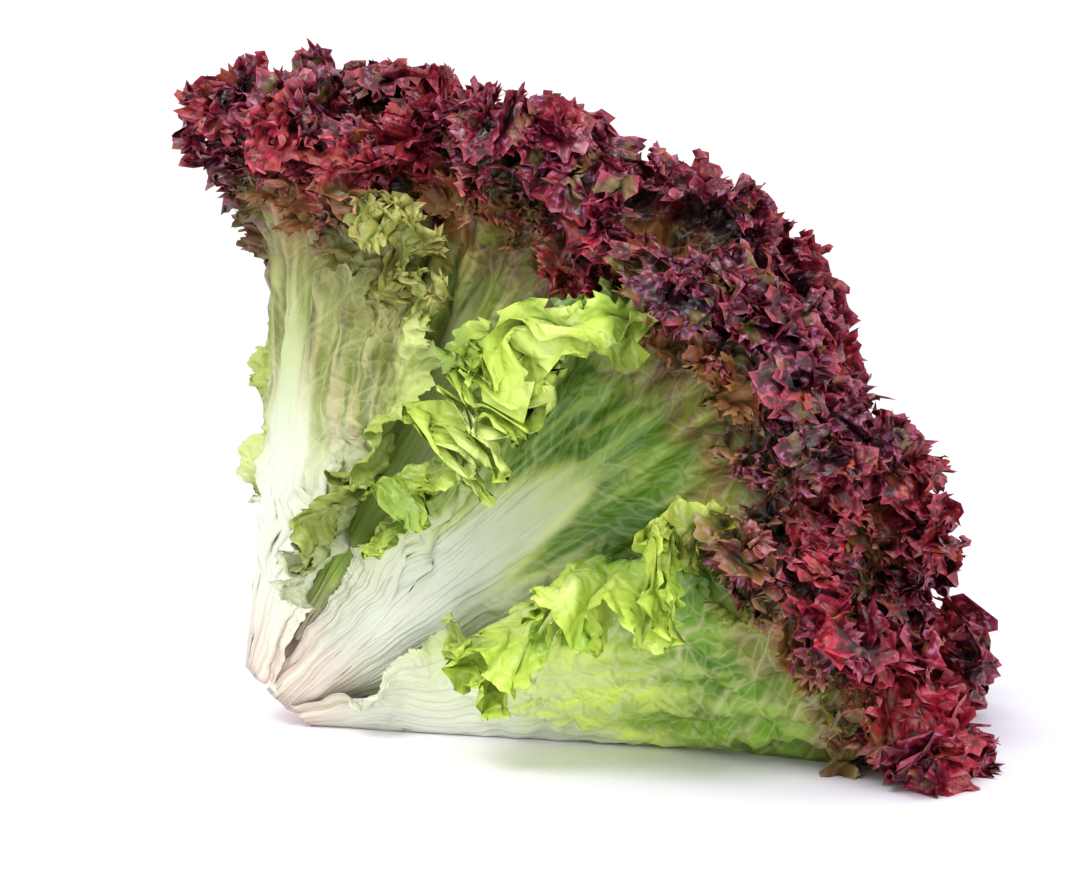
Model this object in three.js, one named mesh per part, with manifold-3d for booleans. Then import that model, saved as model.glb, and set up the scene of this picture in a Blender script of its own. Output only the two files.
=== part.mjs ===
// A head of frilly red loose-leaf lettuce, cut at the stem and lying on its side on a table.
// Millimetres, +Z up, the table top at z = 0. The head's axis runs from the cut stem up and towards +X.
//
// The head is a short stem core with leaves set round it in a spiral, the outer ones low and spread wide,
// the heart leaves high and upright. Each leaf is a thin blade on a thick pale rib, and its margin is
// gathered into a ruffled frill. The red frill of a leaf is a mesh of its own colour, beside the green blade.
import * as THREE from "three";
import { mergeVertices } from "three/addons/utils/BufferGeometryUtils.js";
import Module from "manifold-3d";

const wasm = await Module();
wasm.setup();

// ---------------------------------------------------------------- driving dimensions
const DEG = Math.PI / 180;
const headRadius = 152; // cut stem to the tips of the outer leaves
const heartRadius = 148; // cut stem to the tips of the innermost leaves
const headRise = 48 * DEG; // the axis rises this far above the table
const footHeight = 6.8; // middle of the cut face above the table
const footX = -68.82; // where the middle of the cut face lies over the table
const footY = -3.52;

const stemRadius = 10.5;
const stemLength = 34;
const stemGap = 0.45; // between the stem and the foot of a leaf

const leafCount = 24;
const largeLeaves = 12; // the outer ones, drawn with more folds
const heartLeaves = 7; // the innermost ones, narrow and drawn with fewest
const goldenAngle = -137.508 * DEG; // from one leaf to the next inwards, round the axis
const firstAzimuth = -20 * DEG; // from straight down towards the back, round the axis
const slipRange = 8 * DEG; // leaves further in sit off the spiral by up to half of this
const settledLeaves = 7; // the outermost leaves keep to the spiral
const firstFootTurn = 1.5 * DEG; // where the outermost leaf sits on the stem's dome
const lastFootTurn = 80 * DEG;
const outerBaseAngle = 49 * DEG; // between the axis and the outermost leaf at its foot
const outerTipAngle = 61 * DEG; // the same, at its tip
const innerBaseAngle = 3 * DEG;
const innerTipAngle = 7 * DEG;
const tipCurl = 5.5; // how sharply the angle changes near the tip
const opennessFall = 0.85; // how the angles fall from the outermost leaf to the innermost
// The head is wider from top to bottom than from front to back: the share of its angle by which a leaf
// opens, all round, more so both up and down, and more so down alone.
const footSpread = { all: 0.73, updown: 0.24, down: 0.17 };
const tipSpread = { all: 0.76, updown: 0.28, down: -0.06 };

const sideStretch = 0.07; // share by which leaves at the front and back are longer
const topShrink = 0.14; // share by which leaves on the upper side are shorter
const lengthRange = [0.96, 1.02]; // leaves differ in length by these shares
const outerHalfWidth = 56;
const outerReach = 0.7; // widest the outer leaves get round the head, either way from the rib, in radians
const innerReach = 1.05;
const girthAt = 0.6; // share of a leaf's length where that is measured
const wideLeaf = 0; // the leaf that lies on the table and wraps up round the front of the head
const wideShare = 0.45; // share by which it is wider on that side, the one where u is under 0
const outerFootHalfWidth = 10.6;
const innerFootHalfWidth = 2.2;
const bladeThickness = 0.8;
const outerRibDepth = 2.4; // how far the rib stands out of the blade's back, at its foot
const innerRibDepth = 0.7;
const shoulder = 0.56; // where the margin stops widening and rounds over to the tip, the foot being 0
const shoulderHeight = 0.74; // the same, as a share of the leaf's length
const widening = 0.7; // under 1 the leaf widens mostly near its foot

const ribEnd = 0.62; // share of a leaf's length where its last vein leaves the rib
const veinSweep = 2.2; // how the veins crowd towards the rib's end
const ribFade = [0.12, 0.72]; // shares of a leaf's length between which its rib thins out to nothing
const ribTaper = 0.2; // share of its width that the rib keeps as it runs out
const frillDepth = 36; // from the margin to the blade at the tip, along the veins
const frillEndDepth = 9; // the same where the frill ends
const frillEnd = 5 / 9; // the frill runs this far down each side of the leaf, the foot being 1
const frillKeep = 0.3; // and keeps its depth over this share of that
const frillShare = 0.6; // it never takes more of a vein than this
const colourGap = 1.2; // between the blade and the frill
const leastSlant = 0.4; // sine of the angle between vein and seam, where they run nearly side by side
const outerWaves = 8.5; // ruffles round the margin from the tip to one corner of the foot
const innerWaves = 4;
const outerRuffle = 1.2; // half the height of the ruffles, in steps from one leaf to the next
const innerRuffle = 0.3;
const ruffleReach = 52; // from the margin, along the veins, to where the ruffles begin
const ruffleGrowth = 1.5; // how steeply they grow from there
const ruffleSwing = { share: 0.18, rate: 13.1, shift: 1.7 }; // how their height differs round the margin
const stillFoot = [0.67, 0.97]; // they die down between these two, the corner of the foot being 1
// They stray from an even spacing by a slow swing and a quick one, in radians.
const slowWander = { size: 0.5, rate: 9.7, shift: 1 };
const quickWander = { size: 0.35, rate: 17.3, shift: 2.1 };
const rowCrowding = 0.8; // under 1 the frill's lines of points crowd towards its margin
const toothDepth = 0.024; // share of a vein's length by which the margin's teeth stand out

const crimpDepth = 3.5; // half the height of the crimps that neighbouring leaves share
const crimpLength = 24; // from crest to crest, at the head's outside
const crimpStart = 0.6; // share of the head's radius where they begin
const crimpPhases = [1.1, 4.2];

const tableReach = 4; // leaves lower than this are pressed flatter and flatter against the table
const tableDip = 1.2; // they would sink this far into it, and are cut flat there instead

// ---------------------------------------------------------------- small helpers
const lerp = (a, b, t) => a + (b - a) * t;
const clamp01 = (t) => Math.min(1, Math.max(0, t));
const smooth = (t) => clamp01(t) ** 2 * (3 - 2 * clamp01(t));

// A repeatable draw from 0 to 1 for leaf i.
function draw(i, k) {
  const x = Math.sin(i * 12.9898 + k * 78.233) * 43758.5453;
  return x - Math.floor(x);
}

// The share of its angle by which a leaf at this azimuth opens.
const spread = ({ all, updown, down }, azimuth) =>
  all + updown * Math.cos(2 * azimuth) + down * Math.cos(azimuth);

// Crimps the outer part of the head sideways and then back to front, with the crests running out from the
// stem. Both steps only slide points along parallel lines, so layers that were apart stay apart.
function crimp(p) {
  const grow = (q) => crimpDepth * smooth((q.length() / headRadius - crimpStart) / (1 - crimpStart));
  const waves = (2 * Math.PI * headRadius) / crimpLength;
  p.x += grow(p) * Math.sin((waves * p.y) / p.length() + crimpPhases[0]);
  p.y += grow(p) * Math.sin((waves * p.x) / p.length() + crimpPhases[1]);
  return p;
}

// From the head's own frame, its axis along z from the cut face, to the table's.
function settle(p) {
  const x = footX + p.x * Math.sin(headRise) + p.z * Math.cos(headRise);
  let z = footHeight - p.x * Math.cos(headRise) + p.z * Math.sin(headRise);
  const depth = tableReach + tableDip;
  if (z < tableReach) z = tableReach - depth * (1 - Math.exp((z - tableReach) / depth));
  return new THREE.Vector3(x, footY + p.y, z);
}

// ---------------------------------------------------------------- the layers of leaves
// Layer 0 holds the outermost leaf. Layers never cross: a leaf that keeps near its own layer stays clear
// of the leaves over and under it. Along is measured from the leaf's foot and azimuth round the axis.
const openness = (layer) => Math.max(0, 1 - layer / (leafCount - 1)) ** opennessFall;
const footTurn = (layer) => lerp(firstFootTurn, lastFootTurn, clamp01(layer / (leafCount - 1)));

function layerPoint(layer, along, azimuth) {
  const open = openness(layer);
  const t = along / headRadius;
  const base = lerp(innerBaseAngle, outerBaseAngle, open) * spread(footSpread, azimuth);
  const tip = lerp(innerTipAngle, outerTipAngle, open) * spread(tipSpread, azimuth);
  const chord = lerp(base, tip, t ** tipCurl);
  const turn = footTurn(layer);
  const r = stemRadius * Math.cos(turn) + stemGap + bladeThickness / 2 + along * Math.sin(chord);
  const z = stemLength * Math.sin(turn) + along * Math.cos(chord);
  return new THREE.Vector3(r * Math.cos(azimuth), r * Math.sin(azimuth), z);
}

// ---------------------------------------------------------------- the plan of one leaf
function leafPlan(i) {
  const rank = i / (leafCount - 1);
  const open = openness(i);
  const footZ = stemLength * Math.sin(footTurn(i));
  const slip = i < settledLeaves ? 0 : (draw(i, 1) - 0.5) * slipRange;
  const azimuth = firstAzimuth + i * goldenAngle + slip;
  const upness = 0.5 - 0.5 * Math.cos(azimuth);
  const stretch = 1 + open * (sideStretch * Math.sin(azimuth) ** 2 - topShrink * upness);
  const reach = lerp(heartRadius, headRadius, open) * lerp(...lengthRange, draw(i, 2)) * stretch;
  const length = reach - footZ;
  const tip = lerp(innerTipAngle, outerTipAngle, open);
  const footRadius = stemRadius * Math.cos(footTurn(i)) + stemGap;
  const girth = footRadius + girthAt * length * Math.sin(tip);
  return {
    layer: i,
    azimuth,
    length,
    tip,
    footRadius,
    halfWidth: Math.min(outerHalfWidth, girth * lerp(outerReach, innerReach, rank)),
    widerBy: i === wideLeaf ? wideShare : 0,
    footHalfWidth: lerp(outerFootHalfWidth, innerFootHalfWidth, rank),
    ribDepth: lerp(outerRibDepth, innerRibDepth, rank),
    ruffleLayers: lerp(outerRuffle, innerRuffle, rank),
    waves: lerp(outerWaves, innerWaves, rank),
    phase: draw(i, 3) * 2 * Math.PI,
  };
}

// The margin of the flat leaf at u, from -1 at one corner of its foot over 0 at its tip to 1 at the other.
// Gives the distance across the leaf and along it.
function margin(leaf, u) {
  const q = 1 - Math.abs(u);
  const shoulderAt = shoulderHeight * leaf.length;
  let across, along;
  if (q < shoulder) {
    across = lerp(leaf.footHalfWidth, leaf.halfWidth, smooth(q / shoulder) ** widening);
    along = (shoulderAt * q) / shoulder;
  } else {
    const turn = ((q - shoulder) / (1 - shoulder)) * 0.5 * Math.PI;
    across = leaf.halfWidth * Math.cos(turn);
    along = shoulderAt + (leaf.length - shoulderAt) * Math.sin(turn);
  }
  const wider = u < 0 ? leaf.widerBy * smooth(q / shoulder) : 0;
  return { across: Math.sign(u) * across * (1 + wider), along };
}

// Where the vein to the margin's u leaves the rib, from the foot, and how long that vein is.
const veinStart = (leaf, u) => ribEnd * leaf.length * (1 - Math.abs(u) ** veinSweep);
function veinLength(leaf, u) {
  const edge = margin(leaf, u);
  return Math.hypot(edge.across, edge.along - veinStart(leaf, u));
}

// The flat leaf's point at u round the margin and v along the vein from the rib, 0, to the margin, 1.
function flatPoint(leaf, u, v) {
  const edge = margin(leaf, u);
  return new THREE.Vector2(edge.across * v, lerp(veinStart(leaf, u), edge.along, v));
}

// The blade's ruffle at u, v: from -1 to 1, less far from the margin and towards the foot.
function ruffle(leaf, u, v) {
  const swing = ({ rate, shift }) => Math.sin(rate * u + shift * leaf.phase);
  const stray = slowWander.size * swing(slowWander) + quickWander.size * swing(quickWander);
  const height = 1 - ruffleSwing.share * (1 - swing(ruffleSwing));
  const rise = clamp01(1 - ((1 - v) * veinLength(leaf, u)) / ruffleReach) ** ruffleGrowth;
  const sides = smooth((stillFoot[1] - Math.abs(u)) / (stillFoot[1] - stillFoot[0]));
  return Math.sin(2 * Math.PI * leaf.waves * u + leaf.phase + stray) * height * rise * sides;
}

// The same point of the grown leaf, in the middle of its thickness.
function bladePoint(leaf, u, v) {
  const flat = flatPoint(leaf, u, v);
  const azimuth = leaf.azimuth + flat.x / (leaf.footRadius + flat.y * Math.sin(leaf.tip));
  const layer = leaf.layer - leaf.ruffleLayers * ruffle(leaf, u, v);
  return settle(crimp(layerPoint(layer, flat.y, azimuth)));
}

// How far the rib stands out of the back of the leaf at u, v: broad at the foot, gone past the rib's end.
function ribHeight(leaf, u, v) {
  const flat = flatPoint(leaf, u, v);
  const t = flat.y / leaf.length;
  const fade = smooth((ribFade[1] - t) / (ribFade[1] - ribFade[0]));
  const side = flat.x / (leaf.footHalfWidth * lerp(ribTaper, 1, fade));
  return leaf.ribDepth * fade * Math.max(0, 1 - side * side);
}

// Where along its vein the blade gives way to the frill: the frill narrows down the sides and ends.
function bladeTop(leaf, u) {
  const side = Math.abs(u) / frillEnd;
  if (side > 1.001) return 1;
  const depth = lerp(frillDepth, frillEndDepth, smooth((side - frillKeep) / (1 - frillKeep)));
  return 1 - Math.min(depth / veinLength(leaf, u), frillShare);
}

// The share of a vein that keeps the frill clear of the blade at u, v.
function seamShare(leaf, u, v) {
  const step = 1e-3;
  const here = flatPoint(leaf, u, v);
  const round = flatPoint(leaf, u + step, v).sub(here).divideScalar(step);
  const out = flatPoint(leaf, u, v + step).sub(here).divideScalar(step);
  const slant = Math.abs(round.cross(out)) / (round.length() * out.length());
  return colourGap / (out.length() * Math.max(slant, leastSlant));
}

// ---------------------------------------------------------------- thin closed shells
// A leaf is lines of points round it, the first along the rib and the last along the margin.
// bladeCells and frillCells give the steps of each line from one corner of the foot to the other.
function leafShells(leaf, bladeCells, frillCells) {
  const points = [];
  const ribs = [];
  const addPoint = (u, v) => {
    points.push(bladePoint(leaf, u, v));
    ribs.push(ribHeight(leaf, u, v));
    return points.length - 1;
  };
  const tooth = (k, cells) => (k > 0 && k < cells ? (k % 2 ? toothDepth : -toothDepth) : 0);

  const bladeLines = bladeCells.map((cells, row) =>
    Array.from({ length: cells + 1 }, (_, k) => {
      const u = -1 + (2 * k) / cells;
      const share = row / (bladeCells.length - 1);
      const top = bladeTop(leaf, u);
      const onMargin = share === 1 && top === 1;
      return addPoint(u, share * top + (onMargin ? tooth(k, cells) : 0));
    }),
  );
  // Along the rib the two sides of the leaf share their points.
  const rib = bladeLines[0];
  for (let k = 0; k < rib.length / 2; k++) rib[rib.length - 1 - k] = rib[k];
  const bladeFaces = zipAll(bladeLines);

  const frillLines = frillCells.map((cells, row) => {
    const line = [];
    for (let k = 0; k <= cells; k++) {
      const u = -1 + (2 * k) / cells;
      if (Math.abs(u) > frillEnd + 1e-6) continue;
      const share = (row / (frillCells.length - 1)) ** rowCrowding;
      const top = bladeTop(leaf, u);
      const v = lerp(top + seamShare(leaf, u, top), 1, share);
      line.push(addPoint(u, v + (share === 1 ? tooth(k, cells) : 0)));
    }
    return line;
  });
  const frillFaces = zipAll(frillLines);
  const spare = Math.round((bladeCells.at(-1) * (1 - frillEnd)) / 2);
  const seam = zipAll([bladeLines.at(-1).slice(spare, -spare), frillLines[0]]);
  const all = [...bladeFaces, ...seam, ...frillFaces];
  return [thicken(points, ribs, bladeFaces, all), thicken(points, ribs, frillFaces, all)];
}

// Triangles between neighbouring lines of points that cover the same span with different counts.
function zipAll(lines) {
  const faces = [];
  for (let k = 0; k + 1 < lines.length; k++) {
    const inner = lines[k];
    const outer = lines[k + 1];
    const m = inner.length - 1;
    const n = outer.length - 1;
    let i = 0;
    let j = 0;
    while (i < m || j < n) {
      if (j < n && (i === m || (j + 0.5) / n <= (i + 0.5) / m)) {
        faces.push([inner[i], outer[j], outer[j + 1]]);
        j++;
      } else {
        if (inner[i] !== inner[i + 1]) faces.push([inner[i], outer[j], inner[i + 1]]);
        i++;
      }
    }
  }
  return faces;
}

// A closed shell round faces, alike on both sides, with the ribs raised on its back. The faces of the
// whole leaf say which way its surface looks.
function thicken(points, ribs, faces, wholeLeaf) {
  const normals = points.map(() => new THREE.Vector3());
  const ab = new THREE.Vector3();
  const ac = new THREE.Vector3();
  for (const [a, b, c] of wholeLeaf) {
    ab.subVectors(points[b], points[a]);
    ac.subVectors(points[c], points[a]).cross(ab);
    for (const k of [a, b, c]) normals[k].add(ac);
  }
  const used = [...new Set(faces.flat())];
  const place = new Map(used.map((k, at) => [k, at]));
  const position = [];
  for (const side of [0, 1]) {
    for (const k of used) {
      const off = side === 0 ? -bladeThickness / 2 : bladeThickness / 2 + ribs[k];
      const p = points[k].clone().addScaledVector(normals[k].clone().normalize(), off);
      position.push(p.x, p.y, p.z);
    }
  }
  const back = used.length;
  const index = [];
  const edges = new Set();
  for (const [a, b, c] of faces.map((f) => f.map((k) => place.get(k)))) {
    index.push(a, b, c, back + a, back + c, back + b);
    for (const [s, e] of [[a, b], [b, c], [c, a]]) edges.add(s + "," + e);
  }
  for (const edge of edges) {
    const [s, e] = edge.split(",").map(Number);
    if (!edges.has(e + "," + s)) index.push(s, back + e, e, s, back + s, back + e);
  }
  const shell = new THREE.BufferGeometry();
  shell.setAttribute("position", new THREE.Float32BufferAttribute(position, 3));
  shell.setIndex(index);
  return shell;
}

// ---------------------------------------------------------------- manifold-3d in and out
function toSolid(geometry) {
  const bare = geometry.clone();
  bare.deleteAttribute("normal");
  bare.deleteAttribute("uv");
  const merged = mergeVertices(bare, 1e-4);
  return new wasm.Manifold(
    new wasm.Mesh({
      numProp: 3,
      vertProperties: merged.attributes.position.array,
      triVerts: new Uint32Array(merged.index.array),
    }),
  );
}

function toGeometry(solid) {
  const mesh = solid.getMesh();
  const geometry = new THREE.BufferGeometry();
  geometry.setAttribute("position", new THREE.BufferAttribute(mesh.vertProperties, 3));
  geometry.setIndex(new THREE.BufferAttribute(mesh.triVerts, 1));
  geometry.computeVertexNormals();
  return geometry;
}

// Flattens what reaches under the table top to it, and keeps the largest piece.
const underTable = new THREE.BoxGeometry(600, 600, 40).translate(0, 0, -20);
function standOnTable(geometry) {
  const whole = toSolid(geometry);
  if (whole.boundingBox().min[2] >= 0) return toGeometry(whole);
  const parts = whole.subtract(toSolid(underTable)).decompose();
  parts.sort((a, b) => b.volume() - a.volume());
  return toGeometry(parts[0]);
}

// ---------------------------------------------------------------- materials
const finish = (color, roughness) => new THREE.MeshStandardMaterial({ color, roughness, metalness: 0 });
const materials = {
  stem: finish(0xe6dccb, 0.55),
  outerBlade: finish(0xa9bd72, 0.5),
  innerBlade: finish(0xb9d66a, 0.5),
  frill: finish(0x6b2136, 0.42),
};

// ---------------------------------------------------------------- the head
const head = new THREE.Group();
head.name = "lettuce_head";

function addPiece(name, geometry, material) {
  const mesh = new THREE.Mesh(geometry, material);
  mesh.name = name;
  head.add(mesh);
}

function stemGeometry() {
  const profile = [new THREE.Vector2(0, 0)];
  const rings = 8;
  for (let k = 0; k <= rings; k++) {
    const turn = (0.5 * Math.PI * k) / rings;
    profile.push(new THREE.Vector2(stemRadius * Math.cos(turn), stemLength * Math.sin(turn)));
  }
  const lathe = new THREE.LatheGeometry(profile, 24).rotateX(Math.PI / 2);
  const place = lathe.attributes.position;
  for (let k = 0; k < place.count; k++) {
    const p = settle(new THREE.Vector3().fromBufferAttribute(place, k));
    place.setXYZ(k, p.x, p.y, p.z);
  }
  return lathe;
}

// The steps round a leaf of each line of points, from the rib out: those of its blade and of its frill.
const largeCells = [[10, 12, 20, 36], [36, 72, 108]];
const smallCells = [[8, 10, 18, 36], [36, 72, 72]];
const heartCells = [[6, 8, 12, 18], [18, 36, 36]];

addPiece("stem", standOnTable(stemGeometry()), materials.stem);

for (let i = 0; i < leafCount; i++) {
  const leaf = leafPlan(i);
  const name = "leaf_" + String(i + 1).padStart(2, "0");
  const large = i < largeLeaves;
  const cells = large ? largeCells : i < leafCount - heartLeaves ? smallCells : heartCells;
  const [blade, frill] = leafShells(leaf, ...cells);
  addPiece(name, standOnTable(blade), large ? materials.outerBlade : materials.innerBlade);
  addPiece(name + "_frill", standOnTable(frill), materials.frill);
}

export default head;
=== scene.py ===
"""A head of frilly red loose-leaf lettuce on a pale floor. Lengths of the leaves are in millimetres."""

import bpy
import numpy as np
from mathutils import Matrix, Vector


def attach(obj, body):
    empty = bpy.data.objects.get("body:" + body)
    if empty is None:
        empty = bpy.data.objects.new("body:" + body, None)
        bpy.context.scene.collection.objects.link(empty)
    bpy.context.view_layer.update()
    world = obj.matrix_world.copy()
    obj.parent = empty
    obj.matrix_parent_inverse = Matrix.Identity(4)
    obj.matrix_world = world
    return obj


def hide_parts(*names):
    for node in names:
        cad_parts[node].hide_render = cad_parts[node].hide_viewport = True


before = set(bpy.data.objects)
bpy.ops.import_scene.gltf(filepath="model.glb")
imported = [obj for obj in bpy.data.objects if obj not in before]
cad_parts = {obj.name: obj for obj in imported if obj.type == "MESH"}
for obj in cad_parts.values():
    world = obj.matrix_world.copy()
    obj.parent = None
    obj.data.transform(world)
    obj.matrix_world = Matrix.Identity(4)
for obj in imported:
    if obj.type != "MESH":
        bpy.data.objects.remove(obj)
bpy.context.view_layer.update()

# -------- the solids' own dimensions
# These are part.mjs's driving dimensions: lengths, radians and shares. Of two values, the first is
# the outermost leaf's and the second the innermost one's. Places round a leaf's margin run from 0 at its
# tip to 1 at its foot.
DEG = np.pi / 180
MM = 0.001  # of a metre
HEAD_RADIUS = 152  # cut stem to the tips of the outer leaves, and of the innermost
HEART_RADIUS = 148
HEAD_RISE = 48 * DEG  # the head's axis rises this far above the table
FOOT_HEIGHT = 6.8  # middle of the cut face above the table, and where it lies over it
FOOT_X = -68.82
FOOT_Y = -3.52
STEM_RADIUS = 10.5
STEM_LENGTH = 34
STEM_GAP = 0.45  # between the stem and the foot of a leaf

LEAF_COUNT = 24
GOLDEN_ANGLE = -137.508 * DEG  # from one leaf to the next inwards, round the axis
FIRST_AZIMUTH = -20 * DEG
SLIP_RANGE = 8 * DEG  # leaves further in sit off the spiral by up to half of this
SETTLED_LEAVES = 7  # the outermost leaves keep to the spiral
FOOT_TURNS = (1.5 * DEG, 80 * DEG)  # where leaves sit on the stem's dome
BASE_ANGLES = (49 * DEG, 3 * DEG)  # between the axis and a leaf at its foot, and at its tip
TIP_ANGLES = (61 * DEG, 7 * DEG)
TIP_CURL = 5.5  # how sharply the angle changes near the tip
OPENNESS_FALL = 0.85  # how these angles fall from the outermost leaf to the innermost
FOOT_SPREAD = (0.73, 0.24, 0.17)  # how far leaves open: all round, up and down, and down alone
TIP_SPREAD = (0.76, 0.28, -0.06)

SIDE_STRETCH = 0.07  # share by which leaves at the front and back are longer
TOP_SHRINK = 0.14  # share by which leaves on the upper side are shorter
LENGTH_RANGE = (0.96, 1.02)
WIDEST_HALF = 56
ROUND_REACHES = (0.7, 1.05)  # how far round the head a leaf gets either way from its rib, in radians
GIRTH_AT = 0.6  # share of a leaf's length where that is measured
WIDE_LEAF = 0  # the leaf that wraps up round the front of the head, and by what share it is wider there
WIDE_SHARE = 0.45
FOOT_HALF_WIDTHS = (10.6, 2.2)
BLADE_THICKNESS = 0.8
RIB_DEPTHS = (2.4, 0.7)
RIB_WIDTHS = (0.95, 0.2)  # at the foot and at its end, as shares of half the foot's width
RIB_NARROWS = 0.85  # share of the leaf's length over which it narrows

SHOULDER = 0.56  # share of the way round the margin, from foot to tip, where the side becomes the tip
SHOULDER_HEIGHT = 0.74  # how far up the leaf that is
WIDENING = 0.7
RIB_END = 0.62  # the last side vein leaves the rib this far up the leaf
VEIN_SWEEP = 2.2

RUFFLE_COUNTS = (8.5, 4)
RUFFLE_LAYERS = (1.2, 0.3)  # their height
RUFFLE_REACH = 52
RUFFLE_GROWTH = 1.5
RUFFLE_ENDS = (0.97, 0.67)  # places between which they die down
CRIMP_DEPTH = 3.5
CRIMP_LENGTH = 24
CRIMP_START = 0.6
CRIMP_PHASES = (1.1, 4.2)
TABLE_REACH = 4  # what lies lower than this is pressed flat on the table
TABLE_DIP = 1.2

# -------- what the solids leave out
FOOT_DROP_SHARE = 1.15  # the outer leaves' feet run on down to the cut
FOOT_DROP_REACH = 14
FEET_AT_CUT = 4

# Pleats fan out from the foot, and the blade puckers between its veins. Heights are in layers, and the
# spans say between which shares of the leaf's height they grow.
FAN_DEPTH = 30  # how far under the foot the fan starts
PLEAT_ANGLE = 0.1  # radians of the fan from crest to crest
PLEAT_HEIGHT = 0.55
PLEAT_UNEVEN = 0.3
PLEAT_SPAN = (0.3, 0.7)
PLEAT_STRAY = 2.6
PLEAT_STRAY_LENGTH = 60
PUCKER_LENGTH = 8
PUCKER_HEIGHT = 0.1
PUCKER_SPAN = (0.1, 0.35)
SAVOY_HEIGHT = 0.44  # the puckers' height on the leaves that have them most
SAVOY_LEAVES = (0, 2, 5)
HEART_RELIEF = 0.3  # share of the relief that the innermost leaf keeps
BLOTCH_WAVES = 5

# Lobes of the margin curl over outwards and inwards by turns, each lobe's edge turning by this angle.
LOBES_PER_RUFFLE = 3.3
CALM_SIDES = (0.36, 0.48)  # places between which they die down
SIDE_LOBES = 0.12  # shares of their height that lobes and folds keep down the sides
SIDE_FOLDS = 0.3
BARE_LOBES = 0.35  # share of their height that lobes keep where the frill is slight
BARE_SPANS = {1: (0.2, 0.5)}  # where a leaf's frill is slight and olive, and over what share it gets so
BARE_EASE = 0.1
CURL_REACH = 11  # from the margin to where the lobes begin to curl
CURL_TURN = 2.7
CURL_EXTRA = 0.45  # share by which a lobe is longer than the margin between lobes
CURL_STEEPNESS = 1.4
LOBE_UNEVEN = 0.22
NUDGE = 3e-4  # how far apart points of the blade are compared, to find which way it faces

# Stretches of the outer leaves' sides fold over outwards into flaps: on which leaf and side, between which
# places, from how far in, by what angle, and how much of that the blade gains.
FLAPS = [
    {"leaf": 0, "side": -1, "span": (0.32, 0.78), "reach": 23, "turn": 2.1, "gain": 0.2},
    {"leaf": 0, "side": -1, "span": (0.81, 0.97), "reach": 8, "turn": 2.4, "gain": 0.4},
    {"leaf": 1, "side": 1, "span": (0.5, 0.92), "reach": 16, "turn": 2.1, "gain": 0.6},
    {"leaf": 1, "side": -1, "span": (0.5, 0.9), "reach": 9, "turn": 1.5, "gain": 0.5},
    {"leaf": 3, "side": -1, "span": (0.26, 0.86), "reach": 33, "turn": 2.25, "gain": 0.35},
]
FLAP_CALM = 0.9  # share of the blade's relief that goes where it bears a flap, and where along the veins
FLAP_CALM_SPAN = (0.3, 0.7)
FLAP_FOLDS = 0.35  # share of their height that folds keep on a flap
FLAP_EXTRA = 0.22  # share by which a flap is longer than its reach
FLAP_BEND = 0.33  # share of a flap that takes the whole turn
FLAP_EASE = 0.1  # how much of the margin a flap takes to begin and to end
FLAP_CRUMPLE = 0.9
FLAP_LOOSE = (40, 26)  # flaps are crumpled more and more between these two distances from the margin

# Finer folds follow one another like the bends of a river: they leave the blade on both sides and lean
# over their own feet. Each is confined to a strip along the margin narrower than the last.
FOLDS = [  # wavelength, reach in from the margin, largest bend in radians
    {"length": 4.4, "reach": 13, "bend": 1.5, "seed": 11},
    {"length": 2.1, "reach": 5, "bend": 1.35, "seed": 12},
]
FOLD_ENDS = (0.98, 0.78)  # places between which they die down
FOLD_GROWTH = 0.8
WIDEST_BEND = 1.7
# Crumpling waves: how far each moves a point of the margin, and its length.
CRUMPLES = [(0.45, 3.6), (0.6, 6), (0.8, 10)]
CRUMPLE_WAVES = 5
CRUMPLE_REACH = 26
CRUMPLE_LEAST = 0.25
TOOTH_LENGTH = 1.8
TOOTH_DEPTH = 2.7
TOOTH_SHARES = ((-1, 1.0), (-2, 0.45), (-3, 0.15))  # how far each of the last lines moves with a tooth

# Rows of small frills stand on the leaf near its tip, on its back and, fewer of them, on its inner face.
ROWS = [(4, 1), (9, 1), (14, 1), (19, 1), (24, 1), (8, -1), (17, -1)]  # distance from the margin, and face
ROW_SPAN = 0.43  # they run this far down each side of the leaf
ROW_EASE = 0.1
ROW_HEIGHT = 7
ROW_LEAST = 0.3  # share of the height that a row has at its ends
ROW_SUNK = 0.3  # their feet are sunk this far into the blade
ROW_LEAVES = 10  # the outer leaves, whose backs can be seen
ROW_SHARES = [0, 0.35, 0.65, 0.85, 1]
ROW_STRIDES = [8, 4, 2, 2, 1]
ROW_TURN = (0.5, 1.5)  # angles to the blade at a row's foot and at its edge
ROW_FOLDS = [
    {"length": 4.4, "reach": 7.5, "bend": 1.5, "seed": 13},
    {"length": 2.1, "reach": 4, "bend": 1.35, "seed": 14},
]
ROW_STEP = 0.4  # how far apart points of the leaf are compared, to find which way its veins run

LEAF_THICKNESS = 0.45
RIM_THICKNESS = 0.15  # where the blade goes over into the frill
RIM_THINS = 12  # how far in from there the blade has its full thickness
LOWEST = 0.02  # nothing lies lower over the table

# The mesh: fine columns round the margin, and lines along it. Lines are distances from the margin, each
# with how many of the fine columns it gathers into one.
LARGE_COLUMNS = 2560  # round the margin of the widest leaf
SMALL_COLUMNS = 1408
LARGE_LEAVES = 12
NARROW_COLUMNS = 0.35  # share of the columns that a leaf with no width would have
COARSEST = 32  # columns come in whole blocks of this many
ROW_COLUMNS = 1408
FRILL_LINES = [(0, 1), (0.9, 1), (2, 2), (3.2, 2), (4.6, 2), (6.2, 4), (8, 4), (9.8, 4), (12, 8), (14.4, 8)]
FRILL_LINES += [(17, 8), (20, 8), (23.5, 16), (27.5, 16)]
FLAP_LINES = [(10.9, 4), (13.1, 8), (15.6, 8), (18.4, 8), (21.7, 8), (25.4, 8)]  # more, where flaps are
FRILL_SHARE = 0.55  # the frill's lines keep to this share of the veins
BLADE_SHARES = np.linspace(0, 0.95, 20)
BLADE_STRIDES = [32] * 8 + [16] * 12
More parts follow.
